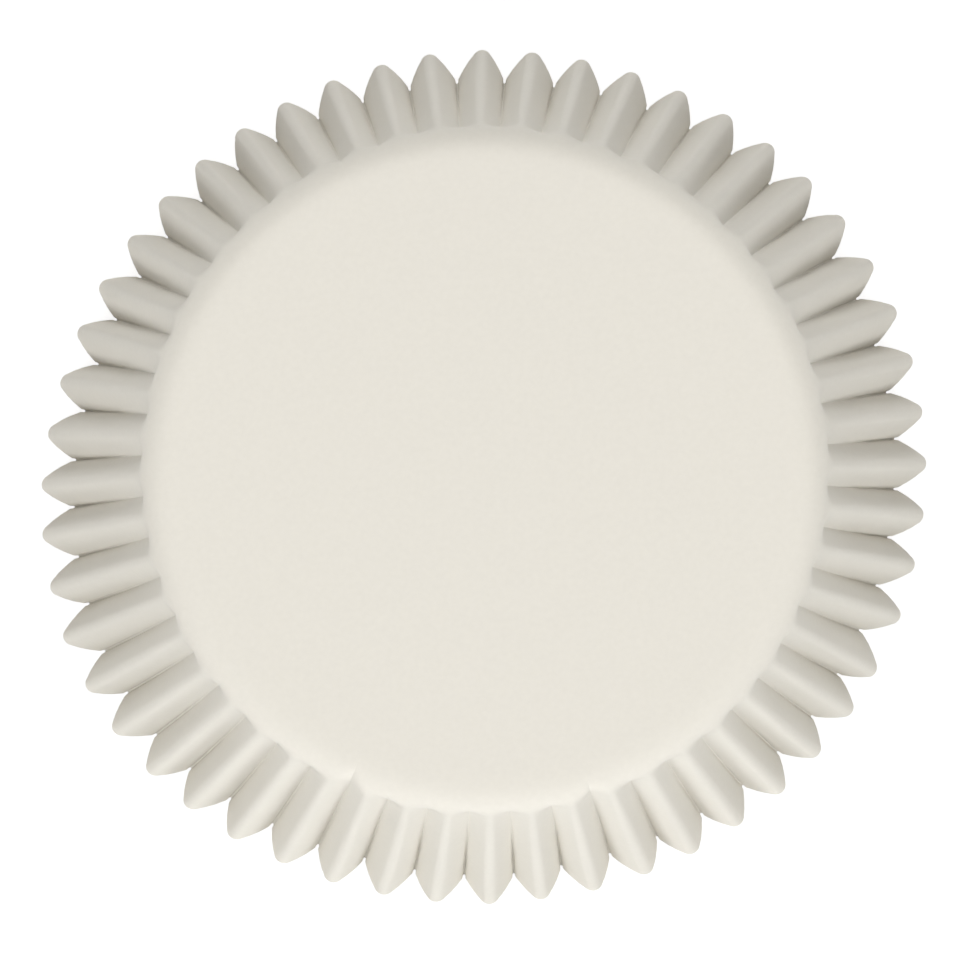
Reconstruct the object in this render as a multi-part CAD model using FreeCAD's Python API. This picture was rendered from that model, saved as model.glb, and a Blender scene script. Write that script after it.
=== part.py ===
import FreeCAD, Part
import math
import os

V = FreeCAD.Vector

# A baking liner pressed from one round sheet of paper. It stands mouth down: the flat base is
# on top and the fluted wall leans out to the rim, which is the edge of the round sheet. Where
# the paper dips into a groove it also reaches lower, so that the liner stands on the ends of
# its grooves, with the flute tips a little clear. The origin is the centre of the rim, on the
# surface that the liner stands on.

doc = FreeCAD.newDocument("CupcakeLiner")

# Driving sizes, in millimetres
DRIVING_SIZES = [
    ("base_diameter", "50", "where wall and base would meet with no rounded corner"),
    ("mouth_diameter", "68", "over the flute tips at the rim"),
    ("tip_drop", "29.92", "outer face of the base down to the flute tips at the rim"),
    ("paper_thickness", "0.08", "one sheet of baking paper"),
    ("corner_radius", "1.75", "outer bend between base and wall"),
    ("flute_count", "52", "flutes round the wall"),
    ("tip_radius", "0.92", "middle of the paper in the bend at a flute's tip, at the rim"),
    ("arch_flank", "0.18", "straight paper beside a groove, where the flutes are round arches"),
]
sheet = doc.addObject("Spreadsheet::Sheet", "sizes")
for line_number, (alias, value, meaning) in enumerate(DRIVING_SIZES, start=1):
    sheet.set("A%d" % line_number, alias)
    sheet.set("B%d" % line_number, value)
    sheet.set("C%d" % line_number, meaning)
    sheet.setAlias("B%d" % line_number, alias)
doc.recompute()

flute_count = int(round(sheet.flute_count))
half_pitch = math.pi / flute_count
base_radius = sheet.base_diameter / 2
mouth_radius = sheet.mouth_diameter / 2
half_paper = sheet.paper_thickness / 2

# The wall leans out from base_radius at the top to the rim. The rounded corner turns from the
# flat base into the wall and touches both.
wall_lean = math.atan2(mouth_radius - base_radius, sheet.tip_drop)
corner_turn = math.pi / 2 - wall_lean
corner_reach = sheet.corner_radius * math.tan(corner_turn / 2)
corner_bend = sheet.corner_radius - half_paper
flat_radius = base_radius - corner_reach
wall_length = math.hypot(mouth_radius - base_radius, sheet.tip_drop) - corner_reach

# Shares of the corner, and then of the stretch with round arches, where sections are taken
CORNER_STOPS = (0.33, 0.67, 1.0)
ARCH_STOPS = (0.25, 1.0)
# Narrow flats that make up the bend at a flute's tip
BEND_FLATS = 4
# No flute is folded over further than this, from its tip to its flank
FURTHEST_TURN = math.radians(150)


def corner_level(share):
    """A section part-way round the corner, square to the paper. Its flutes are round arches.

    Heights are measured from the outer face of the base.
    """
    turn = corner_turn * share
    return {
        "radius": flat_radius + corner_bend * math.sin(turn),
        "height": corner_bend * math.cos(turn) - sheet.corner_radius,
        "slope": turn,
        "paper_radius": flat_radius + corner_bend * turn,
        "bend": None,
    }


def wall_level(share, bend=None):
    """A section part-way down the wall, square to the line of the flute tips.

    Its flutes are round arches, or have the bend given.
    """
    along = corner_reach + wall_length * share
    return {
        "radius": base_radius + along * math.sin(wall_lean) - half_paper * math.cos(wall_lean),
        "height": -along * math.cos(wall_lean) - half_paper * math.sin(wall_lean),
        "slope": corner_turn,
        "paper_radius": flat_radius + corner_bend * corner_turn + wall_length * share,
        "bend": bend,
    }


def rim_level():
    """The section at the rim, where the flutes are deepest and their tips are tightest."""
    return wall_level(1.0, sheet.tip_radius)


def follow_flute(level, tip_turn):
    """Follow the paper from a flute's tip, round its bend and down its flank to the groove.

    Gives the radius of the bend, and how far the groove lies in and across from the tip.
    """
    paper = half_pitch * level["paper_radius"]
    bend = level["bend"] or (paper - sheet.arch_flank) / tip_turn
    flank = paper - bend * tip_turn
    inward = bend * (1 - math.cos(tip_turn)) + flank * math.sin(tip_turn)
    across = bend * math.sin(tip_turn) + flank * math.cos(tip_turn)
    return bend, inward, across


def last_true(low, high, is_true):
    """The value between low and high at which is_true stops holding, by halving the range."""
    for _ in range(60):
        middle = (low + high) / 2
        if is_true(middle):
            low = middle
        else:
            high = middle
    return low


def flute_turn(level):
    """How far the paper turns in from a flute's tip to its flank, so that all of it fits.

    The flat sheet's circle at this level is longer than the circle that the wall leaves for
    it, and the difference goes into the flutes: each turns in until its paper fits its place.
    """
    def is_too_wide(tip_turn):
        _, inward, across = follow_flute(level, tip_turn)
        outward = level["radius"] - inward * math.sin(level["slope"])
        return math.atan2(across, outward) > half_pitch

    return last_true(FURTHEST_TURN / 1e6, FURTHEST_TURN, is_too_wide)


def arch_end():
    """How far down the wall the flutes are still round arches. There they have turned in as
    far as they do at the rim, so that their flanks run flat from there down."""
    rim_turn = flute_turn(rim_level())
    return last_true(0.0, 1.0, lambda share: flute_turn(wall_level(share)) < rim_turn)


def flute_points(level, side):
    """One flute on one face of the paper: how far in and across from its tip each point lies,
    from one edge of its bend to the other, and then the groove."""
    tip_turn = flute_turn(level)
    bend, inward, across = follow_flute(level, tip_turn)
    shift = side * half_paper
    points = []
    for flat in range(BEND_FLATS + 1):
        turn = tip_turn * (2 * flat / BEND_FLATS - 1)
        points.append((bend - (bend + shift) * math.cos(turn), (bend + shift) * math.sin(turn)))
    groove_line = math.atan(math.tan(half_pitch) * math.sin(level["slope"]))
    groove_shift = shift / math.cos(tip_turn - groove_line)
    inward -= groove_shift * math.cos(groove_line)
    across += groove_shift * math.sin(groove_line)
    points.append((inward, across))
    return points


def section_points(level, side):
    """All points of the closed section round the liner."""
    spots = []
    flute = flute_points(level, side)
    for number in range(flute_count):
        for inward, across in flute:
            outward = level["radius"] - inward * math.sin(level["slope"])
            radius = math.hypot(outward, across)
            angle = math.atan2(across, outward) + 2 * half_pitch * number
            height = level["height"] - inward * math.cos(level["slope"])
            spots.append(V(radius * math.cos(angle), radius * math.sin(angle), height))
    return spots


def flat_points(level, side):
    """Points of the flat base's round edge, in line with those of the section below it."""
    height = (side - 1) * half_paper
    spots = []
    for point in section_points(level, side):
        point.z = 0
        point.normalize()
        spots.append(point * flat_radius + V(0, 0, height))
    return spots


def flat_face(spots):
    """A flat face with straight edges between these points."""
    return Part.Face(Part.makePolygon(spots + spots[:1]))


def face_of_paper(levels, side):
    """One face of the paper from the flat base to the rim."""
    sections = [flat_points(levels[0], side)]
    sections += [section_points(level, side) for level in levels]
    wires = [Part.makePolygon(spots + spots[:1]) for spots in sections[:-1]]
    faces = [flat_face(sections[0])]
    faces += Part.makeLoft(wires, False, True).Faces
    above, below = sections[-2:]
    for index in range(-1, len(above) - 1):
        faces.append(flat_face([above[index], above[index + 1], below[index + 1], below[index]]))
    return faces


def cut_edge():
    """The edge of the sheet: one flat bent strip for each flute, from groove to groove."""
    outer = section_points(rim_level(), 1)
    inner = section_points(rim_level(), -1)
    points_in_flute = BEND_FLATS + 2
    faces = []
    for first in range(0, len(outer), points_in_flute):
        places = range(first - 1, first + points_in_flute)
        outer_side = [outer[place] for place in places]
        inner_side = [inner[place] for place in reversed(places)]
        faces.append(flat_face(outer_side + inner_side))
    return faces


def fluted_paper():
    """The whole liner: the outer and the inner face of the paper, joined by its cut edge."""
    levels = [corner_level(share) for share in CORNER_STOPS]
    levels += [wall_level(share * arch_end()) for share in ARCH_STOPS]
    levels.append(rim_level())
    shell = Part.makeShell(face_of_paper(levels, 1) + face_of_paper(levels, -1) + cut_edge())
    shell.sewShape()
    solid = Part.makeSolid(shell)
    if solid.Volume < 0:
        solid.reverse()
    return solid


def liner_height():
    """The outer face of the base down to the ends of the grooves, which the liner stands on."""
    return -min(point.z for point in section_points(rim_level(), -1))


liner = doc.addObject("Part::Feature", "liner")
liner.Label = "liner"
liner.Shape = fluted_paper()
liner.Placement = FreeCAD.Placement(V(0, 0, liner_height()), FreeCAD.Rotation())
doc.recompute()

for item in doc.Objects:
    if "Invalid" in item.State or "Error" in item.State:
        raise RuntimeError("%s did not compute" % item.Label)
if liner.Shape.isNull() or not liner.Shape.isValid():
    raise RuntimeError("liner has no valid shape")

os.makedirs("parts", exist_ok=True)
liner.Shape.exportStep("parts/%s.step" % liner.Label)
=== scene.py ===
import math
import random

import bpy
import numpy as np
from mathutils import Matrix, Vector


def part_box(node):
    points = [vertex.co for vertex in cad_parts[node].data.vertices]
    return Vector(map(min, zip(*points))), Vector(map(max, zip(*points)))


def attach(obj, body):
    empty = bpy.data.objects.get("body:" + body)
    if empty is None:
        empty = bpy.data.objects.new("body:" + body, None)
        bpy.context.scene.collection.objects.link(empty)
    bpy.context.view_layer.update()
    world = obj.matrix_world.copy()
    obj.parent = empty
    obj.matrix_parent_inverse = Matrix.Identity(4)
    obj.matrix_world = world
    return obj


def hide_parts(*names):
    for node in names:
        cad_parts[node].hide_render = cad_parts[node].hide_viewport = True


# A fluted paper baking liner, mouth down on a white table, seen from above. The paper is one
# thin sheet: a flat round base, a rounded corner and a wall gathered into flutes. The flutes
# are worked out from the flat sheet, whose circles are longer than the wall has room for.

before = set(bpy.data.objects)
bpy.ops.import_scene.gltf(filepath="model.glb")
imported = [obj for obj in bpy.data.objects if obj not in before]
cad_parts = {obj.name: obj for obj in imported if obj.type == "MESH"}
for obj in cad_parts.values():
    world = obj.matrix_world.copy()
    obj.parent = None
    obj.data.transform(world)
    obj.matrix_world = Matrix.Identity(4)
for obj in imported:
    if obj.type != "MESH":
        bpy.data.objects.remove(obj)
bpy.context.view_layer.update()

MM = 0.001

# Sizes of the liner, in millimetres. The frame gives the mouth and the height. The tips' drop
# is from the base down to the flutes' tips at the rim.
liner_low, liner_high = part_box("liner")
MOUTH_RADIUS = (liner_high[0] - liner_low[0]) / 2 / MM
LINER_HEIGHT = (liner_high[2] - liner_low[2]) / MM
TIP_DROP = 29.92
BASE_RADIUS = 25.0
CORNER_RADIUS = 2.6
PAPER = 0.08
FLUTE_COUNT = 52
HALF_PITCH = math.pi / FLUTE_COUNT

# A flute from its tip to its groove is a bend, a bowed flank, a pinch that brings the flanks of
# two flutes together, a straight slit and a tight bend in the groove. The bow is a share of the
# tip's turn. Top is at the corner and rim is at the edge of the sheet.
TIP_BEND_TOP = 0.6
TIP_BEND_RIM = 0.72
GROOVE_BEND_TOP = 0.1
GROOVE_BEND_RIM = 0.14
FLANK_BOW_TOP = 0.0
FLANK_BOW_RIM = 0.3
PINCH_BEND = 0.3
# The pinch turns the paper this far from the tip, and the slit holds this share of the paper to
# spare. Both grow down the wall and are full from this share of it on.
SLIT_TURN = math.radians(88)
SLIT_SHARE = 0.14
PINCH_FULL = 0.8
# Higher up, pinch and slit keep these lengths, so that no two points of the paper meet
SHORTEST_PINCH = 0.12
SHORTEST_SLIT = 0.05
# The tip's turn is less than this and is found by halving the range
FURTHEST_TURN = math.radians(120)
HALVINGS = 50

# At the corner the flutes take in more paper than the sheet's radius gives, by this radius. It
# lessens down the wall to none at the rim.
GATHERED_PAPER = 1.2
# The flutes start at this share of the corner and are full after this much paper
FLUTE_START = 0.62
FLUTE_RUN_IN = 2.2
# Two pleats that bite further into the base: the direction and the extra reach of each
DEEP_PLEATS = ((math.radians(246), 1.5), (math.radians(289), 1.1))

# The mouth is a little out of round, by two, three and four waves round it. Each has its
# height and the direction of one crest.
MOUTH_WAVES = (
    (2, 0.79, math.radians(20)),
    (3, 0.20, math.radians(-33)),
    (4, 0.15, math.radians(30)),
)
# Direction of the first flute's tip, and how far the flutes at both sides turn to the back
FIRST_TIP = math.radians(0.86)
BACK_CROWDING = math.radians(0.88)

# Unevenness from flute to flute: share of its depth, direction, and the paper where it starts
SEED = 52
DEPTH_SPREAD = 0.05
ANGLE_SPREAD = math.radians(0.16)
START_SPREAD = 0.25
# Soft dents in the flutes, in rows down the wall
DENT_SPREAD = 0.05
DENT_ROWS = 7
# Flutes that stand out of line: the direction of each and how far it is turned
ODD_FLUTES = (
    (math.radians(334.3), math.radians(-0.8)),
    (math.radians(229.4), math.radians(-0.4)),
    (math.radians(291.8), math.radians(0.4)),
)

# Points along half a flute, from its tip to its groove, and sections down the liner. The power
# brings the wall's sections closer together near the corner.
TIP_STEPS = 4
FLANK_STEPS = 3
PINCH_STEPS = 3
SLIT_STEPS = 1
GROOVE_STEPS = 3
CORNER_SECTIONS = 7
WALL_SECTIONS = 18
WALL_POWER = 1.3
# Rings in the flat base, as shares of its radius: those with all the flutes' points, and those
# inside them with fewer
EDGE_RINGS = (0.94, 0.97, 1.0)
INNER_RINGS = (0.88, 0.6, 0.3)
INNER_POINTS = 2 * FLUTE_COUNT
# The paper's edge stays crisp, as it turns more sharply than this
CUT_EDGE_ANGLE = math.radians(65)

# The paper's surface: the noise of its fibres, their tints, how deep they are, and how much of
# the light passes through
FIBRE_SCALE = 2500.0
FIBRE_DETAIL = 6.0
FIBRE_TINTS = (
    (0.3, (0.89, 0.86, 0.79, 1.0)),
    (0.7, (0.91, 0.88, 0.81, 1.0)),
)
FIBRE_BUMP = 0.2
FIBRE_DEPTH = 0.02
PAPER_ROUGHNESS = 0.7
PAPER_SHEEN = 0.3
LIGHT_THROUGH = 0.3

# The table, in metres from its middle to its side, and its greys. The camera sees a darker one
# that glows, which makes a plain white with a faint shadow.
TABLE_REACH = 1.5
TABLE_GREY = (0.8, 0.8, 0.8, 1.0)
SEEN_GREY = (0.35, 0.35, 0.35, 1.0)
SEEN_GLOW = 0.75
TABLE_ROUGHNESS = 0.9
WHITE = (1.0, 1.0, 1.0, 1.0)

# The photograph's camera: its height over the table, its distance to the front and the nearest
# that it sees. Then the photo's width in pixels, its scale at the rim, the pixel at the middle
# of the rim, and the width of the camera's sensor.
CAMERA_HEIGHT = 490.0
CAMERA_BACK = 11.7
CAMERA_NEAR = 10.0
IMAGE_SIZE = 964
PIXELS_PER_MM = 12.79
RIM_PIXEL = (484.7, 479.3)
SENSOR = 36.0

WARM = (1.0, 0.983, 0.96)
COOL = (0.965, 0.982, 1.0)
# Lamps: name, azimuth and elevation in degrees, watts, and colour
LAMPS = (
    ("overhead_lamp", 90, 90, 4.9, WARM),
    ("front_lamp", 270, 20, 1.5, COOL),
    ("front_left_lamp", 225, 32, 4.5, COOL),
    ("front_right_lamp", 315, 32, 4.5, COOL),
    ("back_lamp", 90, 20, 2.7, COOL),
    ("back_left_lamp", 135, 20, 1.1, COOL),
    ("back_right_lamp", 45, 20, 1.1, COOL),
)
# Side of each lamp and its distance from the liner, in metres
LAMP_SIZE = 0.4
LAMP_DISTANCE = 1.0
# Strength of the even light from all round
ROOM_LIGHT = 0.06

CORNER_BEND = CORNER_RADIUS - PAPER / 2
WALL_LEAN = math.atan2(MOUTH_RADIUS - BASE_RADIUS, TIP_DROP)
CORNER_TURN = math.pi / 2 - WALL_LEAN
CORNER_REACH = CORNER_RADIUS * math.tan(CORNER_TURN / 2)
FLAT_RADIUS = BASE_RADIUS - CORNER_REACH
WALL_LENGTH = math.hypot(MOUTH_RADIUS - BASE_RADIUS, TIP_DROP) - CORNER_REACH
# The middle of the paper stays this far above the table, as its edge is square to the wall
RIM_LIFT = PAPER / 2 * math.sin(WALL_LEAN)


def ease(value):
    """From 0 to 1 with a soft start and end."""
    value = np.clip(value, 0.0, 1.0)
    return value * value * (3 - 2 * value)


def between(first, last, share):
    """The value at this share of the way from the first to the last."""
    return first + (last - first) * share


def corner_section(share):
    """The tip line of the paper part-way round the corner. Heights are from the base down."""
    turn = CORNER_TURN * share
    return {
        "radius": FLAT_RADIUS + CORNER_BEND * math.sin(turn),
        "height": CORNER_BEND * math.cos(turn) - CORNER_RADIUS,
        "slope": turn,
        "paper_radius": FLAT_RADIUS + CORNER_BEND * turn,
        "down": 0.0,
    }


def wall_section(share):
    """The tip line of the paper part-way down the wall."""
    along = CORNER_REACH + WALL_LENGTH * share
    return {
        "radius": BASE_RADIUS + along * math.sin(WALL_LEAN) - PAPER / 2 * math.cos(WALL_LEAN),
        "height": -along * math.cos(WALL_LEAN) - PAPER / 2 * math.sin(WALL_LEAN),
        "slope": CORNER_TURN,
        "paper_radius": FLAT_RADIUS + CORNER_BEND * CORNER_TURN + WALL_LENGTH * share,
        "down": share,
    }


def follow_paper(parts):
    """How far in and across the paper has gone after each step.

    Each part of the paper has its number of steps, its length and its turn.
    """
    lengths = np.concatenate([np.full(count, length / count) for count, length, _ in parts])
    turns = np.concatenate([np.full(count, turn / count) for count, _, turn in parts])
    chords = lengths * np.sinc(turns / 2 / math.pi)
    headings = np.cumsum(turns) - turns / 2
    inward = np.concatenate([[0.0], np.cumsum(chords * np.sin(headings))])
    across = np.concatenate([[0.0], np.cumsum(chords * np.cos(headings))])
    return inward, across


def half_flute(section, tip_turn):
    """How far in and across the paper goes from a flute's tip to its groove."""
    down = section["down"]
    paper = HALF_PITCH * (section["paper_radius"] + GATHERED_PAPER * (1 - down))
    tip_length = between(TIP_BEND_TOP, TIP_BEND_RIM, down) * tip_turn
    bow = between(FLANK_BOW_TOP, FLANK_BOW_RIM, down) * tip_turn
    folded = ease(down / PINCH_FULL)
    pinch = max(SLIT_TURN - tip_turn - bow, 0.0) * folded
    pinch_length = max(PINCH_BEND * pinch, SHORTEST_PINCH)
    slit = SLIT_SHARE * folded * max(paper - HALF_PITCH * section["radius"], 0.0)
    slit_length = max(slit, SHORTEST_SLIT)
    groove_turn = tip_turn + bow + pinch - HALF_PITCH
    groove_length = between(GROOVE_BEND_TOP, GROOVE_BEND_RIM, down) * abs(groove_turn)
    flank_length = paper - (tip_length + pinch_length + slit_length + groove_length)
    return follow_paper([
        (TIP_STEPS, tip_length, tip_turn),
        (FLANK_STEPS, flank_length, bow),
        (PINCH_STEPS, pinch_length, pinch),
        (SLIT_STEPS, slit_length, 0.0),
        (GROOVE_STEPS, groove_length, -groove_turn),
    ])


def fitted_flute(section):
    """The half flute whose paper just fits the wall there."""
    low, high = 0.0, FURTHEST_TURN
    for _ in range(HALVINGS):
        tip_turn = (low + high) / 2
        inward, across = half_flute(section, tip_turn)
        end_radius = section["radius"] - inward[-1] * math.sin(section["slope"])
        if math.atan2(across[-1], end_radius) > HALF_PITCH:
            low = tip_turn
        else:
            high = tip_turn
    return inward, across


def section_ring(section):
    """How far in each point of a section lies from the line of the tips, and its angle."""
    inward, across = fitted_flute(section)
    angles = np.arctan2(across, section["radius"] - inward * math.sin(section["slope"]))
    angles *= HALF_PITCH / angles[-1]
    inward = np.concatenate([inward, inward[-2:0:-1]])
    angles = np.concatenate([angles, 2 * HALF_PITCH - angles[-2:0:-1]])
    starts = 2 * HALF_PITCH * np.arange(FLUTE_COUNT)
    return np.tile(inward, FLUTE_COUNT), (starts[:, None] + angles[None, :]).ravel()


def uneven(angles, spread, rng):
    """A soft random wave round the liner, with one chance value at each tip and groove."""
    spots = np.arange(2 * FLUTE_COUNT + 1) * HALF_PITCH
    values = np.array([rng.uniform(-spread, spread) for _ in spots[1:]])
    return np.interp(angles % (2 * math.pi), spots, np.append(values, values[0]))


def bump_at(angles, direction):
    """One at this direction, and down to nothing half a flute to either side of it."""
    apart = np.abs((angles - direction + math.pi) % (2 * math.pi) - math.pi)
    return np.clip(1 - apart / HALF_PITCH, 0.0, 1.0)


def nearest_groove(direction):
    """The direction of the groove nearest to this one."""
    return (round(direction / HALF_PITCH / 2 - 0.5) + 0.5) * HALF_PITCH * 2


def nearest_tip(direction):
    """The direction of the flute's tip nearest to this one."""
    return round(direction / HALF_PITCH / 2) * HALF_PITCH * 2


def all_sections():
    """The sections from the start of the corner down to the rim."""
    sections = []
    for index in range(CORNER_SECTIONS):
        sections.append(corner_section((index + 1) / CORNER_SECTIONS))
    for index in range(WALL_SECTIONS):
        sections.append(wall_section(((index + 1) / WALL_SECTIONS) ** WALL_POWER))
    return sections


def flute_unevenness(angles):
    """The flutes' depths, their turns, the paper where each starts, and the rows of dents."""
    rng = random.Random(SEED)
    depth = 1 + uneven(angles, DEPTH_SPREAD, rng)
    sway = uneven(angles, ANGLE_SPREAD, rng)
    for direction, turn in ODD_FLUTES:
        sway = sway + turn * bump_at(angles, nearest_tip(direction))
    start = FLAT_RADIUS + CORNER_BEND * CORNER_TURN * FLUTE_START
    start = start + uneven(angles, START_SPREAD, rng)
    for direction, reach in DEEP_PLEATS:
        start = start - reach * bump_at(angles, nearest_groove(direction))
    dents = [uneven(angles, DENT_SPREAD, rng) for _ in range(DENT_ROWS)]
    return depth, sway, start, dents


def dent_at(dents, down):
    """The dents this far down the wall, from the row above and the row below."""
    spot = down * (DENT_ROWS - 1)
    upper = min(int(spot), DENT_ROWS - 2)
    return between(dents[upper], dents[upper + 1], ease(spot - upper))


def fluted_rings():
    """Radius, angle, height and share down the wall, one row for each section."""
    sections = all_sections()
    rings = [section_ring(section) for section in sections]
    depth, sway, start, dents = flute_unevenness(rings[0][1])
    radii, turned, heights, downs = [], [], [], []
    for section, (inward, angles) in zip(sections, rings):
        relief = ease((section["paper_radius"] - start) / FLUTE_RUN_IN)
        inward = (inward * depth + dent_at(dents, section["down"])) * relief
        radii.append(section["radius"] - inward * math.sin(section["slope"]))
        heights.append(section["height"] - inward * math.cos(section["slope"]))
        turned.append(angles + sway * section["down"])
        downs.append(np.full(len(angles), section["down"]))
    return np.array(radii), np.array(turned), np.array(heights), np.array(downs)


def add_edge_rings(radii, angles, heights, downs):
    """Puts the base's outer rings, which have all the flutes' points, before the sections."""
    edge_radii = FLAT_RADIUS * np.array(EDGE_RINGS)[:, None] + 0 * radii[:1]
    radii = np.concatenate([edge_radii, radii])
    angles = np.concatenate([angles[:1] + 0 * edge_radii, angles])
    heights = np.concatenate([0 * edge_radii - PAPER / 2, heights])
    downs = np.concatenate([0 * edge_radii, downs])
    return radii, angles, heights, downs


def bend_mouth(radii, angles, downs):
    """Pulls the mouth out of round. The flutes keep their spacing along it."""
    bent = radii.copy()
    turned = angles + FIRST_TIP + downs * BACK_CROWDING * np.cos(angles)
    for waves, height, crest in MOUTH_WAVES:
        reach = downs * height / MOUTH_RADIUS
        bent = bent + radii * reach * np.cos(waves * (angles - crest))
        turned = turned - reach / waves * np.sin(waves * (angles - crest))
    return bent, turned


def above_table(heights):
    """Turns heights from the base down into heights from the table up."""
    return RIM_LIFT + (LINER_HEIGHT - RIM_LIFT) * (1 - heights / heights.min())


def ring_points(radii, angles, heights):
    """Points from their radius, angle and height."""
    return np.stack([radii * np.cos(angles), radii * np.sin(angles), heights], axis=-1)


def grid_faces(rows, columns):
    """Faces that join each ring to the next, where all have the same number of points."""
    faces = []
    for row in range(rows - 1):
        above = row * columns
        below = above + columns
        for column in range(columns):
            after = (column + 1) % columns
            faces.append([above + column, below + column, below + after, above + after])
    return faces


def fan_between(inner_start, inner_count, outer_start, outer_count):
    """Faces that join a ring of few points to a ring of many round it."""
    many = outer_count // inner_count
    faces = []
    for number in range(inner_count):
        outer = [outer_start + (number * many + step) % outer_count for step in range(many + 1)]
        after = inner_start + (number + 1) % inner_count
        faces.append([inner_start + number] + outer + [after])
    return faces


def paper_mesh():
    """The middle of the paper: the fluted grid, and rings with fewer points in the base."""
    radii, angles, heights, downs = add_edge_rings(*fluted_rings())
    radii, angles = bend_mouth(radii, angles, downs)
    heights = above_table(heights)
    rows, columns = radii.shape
    spots = [ring_points(radii, angles, heights).reshape(-1, 3)]
    faces = grid_faces(rows, columns)
    ring_angles = angles[0, :: columns // INNER_POINTS]
    level = heights[0, 0] + 0 * ring_angles
    outer_start, outer_count = 0, columns
    for share in INNER_RINGS:
        ring_start = sum(len(part) for part in spots)
        spots.append(ring_points(FLAT_RADIUS * share + 0 * ring_angles, ring_angles, level))
        faces += fan_between(ring_start, INNER_POINTS, outer_start, outer_count)
        outer_start, outer_count = ring_start, INNER_POINTS
    faces.append([outer_start + number for number in range(outer_count)])
    mesh = bpy.data.meshes.new("liner_paper")
    mesh.from_pydata((np.concatenate(spots) * MM).tolist(), [], faces)
    mesh.shade_smooth()
    return mesh


def paper_fibres(nodes, links):
    """Fine fibres in the paper. Gives the sockets of their colour and of their bumps."""
    place = nodes.new("ShaderNodeTexCoord")
    fibres = nodes.new("ShaderNodeTexNoise")
    fibres.inputs["Scale"].default_value = FIBRE_SCALE
    fibres.inputs["Detail"].default_value = FIBRE_DETAIL
    links.new(place.outputs["Object"], fibres.inputs["Vector"])

    tint = nodes.new("ShaderNodeValToRGB")
    for stop, (position, color) in zip(tint.color_ramp.elements, FIBRE_TINTS):
        stop.position = position
        stop.color = color
    links.new(fibres.outputs["Fac"], tint.inputs["Fac"])

    bump = nodes.new("ShaderNodeBump")
    bump.inputs["Strength"].default_value = FIBRE_BUMP
    bump.inputs["Distance"].default_value = FIBRE_DEPTH * MM
    links.new(fibres.outputs["Fac"], bump.inputs["Height"])
    return tint.outputs["Color"], bump.outputs["Normal"]


def paper_material():
    """Matt cream baking paper with fine fibres, which lets a little light through."""
    material = bpy.data.materials.new("baking_paper")
    material.use_nodes = True
    nodes = material.node_tree.nodes
    links = material.node_tree.links
    shader = nodes["Principled BSDF"]
    shader.inputs["Roughness"].default_value = PAPER_ROUGHNESS
    shader.inputs["Specular IOR Level"].default_value = PAPER_SHEEN
    through = nodes.new("ShaderNodeBsdfTranslucent")
    color, normal = paper_fibres(nodes, links)
    links.new(color, shader.inputs["Base Color"])
    links.new(normal, shader.inputs["Normal"])
    links.new(color, through.inputs["Color"])
    links.new(normal, through.inputs["Normal"])
    mix = nodes.new("ShaderNodeMixShader")
    mix.inputs["Fac"].default_value = LIGHT_THROUGH
    links.new(shader.outputs["BSDF"], mix.inputs[1])
    links.new(through.outputs["BSDF"], mix.inputs[2])
    links.new(mix.outputs["Shader"], nodes["Material Output"].inputs["Surface"])
    return material


def make_liner():
    """The liner as one sheet of real thickness."""
    liner = bpy.data.objects.new("liner_paper", paper_mesh())
    bpy.context.scene.collection.objects.link(liner)
    thickness = liner.modifiers.new("paper", "SOLIDIFY")
    thickness.thickness = PAPER * MM
    thickness.offset = 0.0
    thickened = liner.evaluated_get(bpy.context.evaluated_depsgraph_get())
    solid = bpy.data.meshes.new_from_object(thickened)
    liner.modifiers.clear()
    liner.data = solid
    solid.set_sharp_from_angle(angle=CUT_EDGE_ANGLE)
    solid.materials.append(paper_material())
    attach(liner, "root")
    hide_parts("liner")


def show_apart(tree, unseen, seen, surface):
    """Shows the seen shader to the camera and the unseen one to all other rays."""
    path = tree.nodes.new("ShaderNodeLightPath")
    mix = tree.nodes.new("ShaderNodeMixShader")
    tree.links.new(path.outputs["Is Camera Ray"], mix.inputs["Fac"])
    tree.links.new(unseen, mix.inputs[1])
    tree.links.new(seen, mix.inputs[2])
    tree.links.new(mix.outputs["Shader"], surface)


def table_material():
    """A white table. The camera sees it as plain white, with a faint shadow of the liner."""
    material = bpy.data.materials.new("white_table")
    material.use_nodes = True
    nodes = material.node_tree.nodes
    shader = nodes["Principled BSDF"]
    shader.inputs["Base Color"].default_value = TABLE_GREY
    shader.inputs["Roughness"].default_value = TABLE_ROUGHNESS
    seen = nodes.new("ShaderNodeBsdfPrincipled")
    seen.inputs["Base Color"].default_value = SEEN_GREY
    seen.inputs["Roughness"].default_value = TABLE_ROUGHNESS
    seen.inputs["Emission Color"].default_value = WHITE
    seen.inputs["Emission Strength"].default_value = SEEN_GLOW
    surface = nodes["Material Output"].inputs["Surface"]
    show_apart(material.node_tree, shader.outputs["BSDF"], seen.outputs["BSDF"], surface)
    return material


def make_table():
    """The table that the liner stands on."""
    mesh = bpy.data.meshes.new("table")
    corners = [
        (-TABLE_REACH, -TABLE_REACH, 0),
        (TABLE_REACH, -TABLE_REACH, 0),
        (TABLE_REACH, TABLE_REACH, 0),
        (-TABLE_REACH, TABLE_REACH, 0),
    ]
    mesh.from_pydata(corners, [], [(0, 1, 2, 3)])
    mesh.materials.append(table_material())
    table = bpy.data.objects.new("table", mesh)
    bpy.context.scene.collection.objects.link(table)


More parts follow.
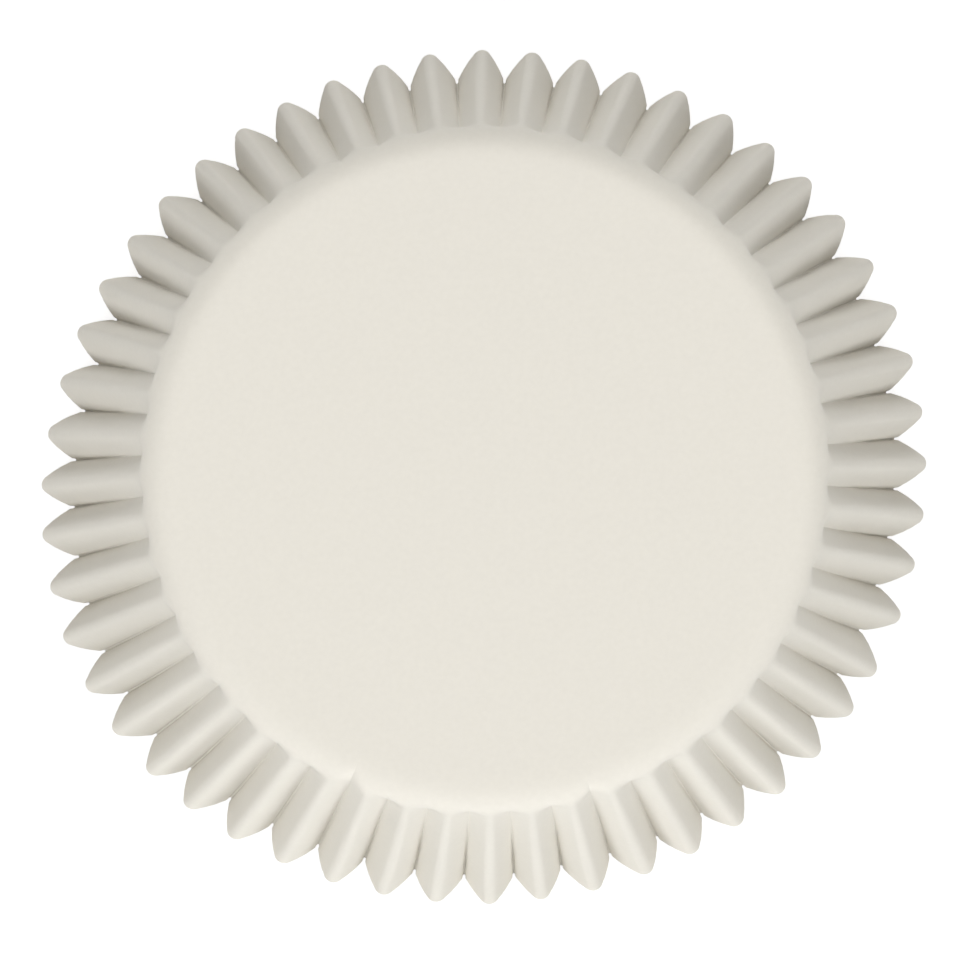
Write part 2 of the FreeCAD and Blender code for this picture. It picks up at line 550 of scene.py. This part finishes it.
def make_room():
    """A faint even light from all round, and a white backdrop that only the camera sees."""
    world = bpy.data.worlds.new("studio")
    world.use_nodes = True
    nodes = world.node_tree.nodes
    room = nodes["Background"]
    room.inputs["Strength"].default_value = ROOM_LIGHT
    backdrop = nodes.new("ShaderNodeBackground")
    backdrop.inputs["Color"].default_value = WHITE
    surface = nodes["World Output"].inputs["Surface"]
    show_apart(world.node_tree, room.outputs["Background"], backdrop.outputs["Background"], surface)
    bpy.context.scene.world = world


def add_lamp(name, azimuth, elevation, power, color):
    """A square soft lamp, aimed at the liner from these directions in degrees."""
    lamp = bpy.data.lights.new(name, "AREA")
    lamp.size = LAMP_SIZE
    lamp.energy = power
    lamp.color = color
    holder = bpy.data.objects.new(name, lamp)
    turn = math.radians(azimuth)
    rise = math.radians(elevation)
    level = math.cos(rise)
    toward = Vector((math.cos(turn) * level, math.sin(turn) * level, math.sin(rise)))
    holder.location = toward * LAMP_DISTANCE
    holder.rotation_euler = (-toward).to_track_quat("-Z", "Y").to_euler()
    bpy.context.scene.collection.objects.link(holder)


def make_lamps():
    """A lamp overhead, a broad bank of low lamps in front and a weaker one behind."""
    for lamp in LAMPS:
        add_lamp(*lamp)


def make_camera():
    """The photograph's view: almost straight down on the base."""
    camera = bpy.data.cameras.new("camera")
    camera.sensor_width = SENSOR
    focal_pixels = PIXELS_PER_MM * CAMERA_HEIGHT
    camera.lens = focal_pixels * SENSOR / IMAGE_SIZE
    camera.clip_start = CAMERA_NEAR * MM
    holder = bpy.data.objects.new("camera", camera)
    aim = Vector((
        (IMAGE_SIZE / 2 - RIM_PIXEL[0]) / PIXELS_PER_MM * MM,
        (RIM_PIXEL[1] - IMAGE_SIZE / 2) / PIXELS_PER_MM * MM,
        0.0,
    ))
    holder.location = (aim.x, -CAMERA_BACK * MM, CAMERA_HEIGHT * MM)
    holder.rotation_euler = (aim - holder.location).to_track_quat("-Z", "Y").to_euler()
    bpy.context.scene.collection.objects.link(holder)
    bpy.context.scene.camera = holder


make_liner()
make_table()
make_room()
make_lamps()
make_camera()
bpy.context.scene.view_settings.view_transform = "Standard"
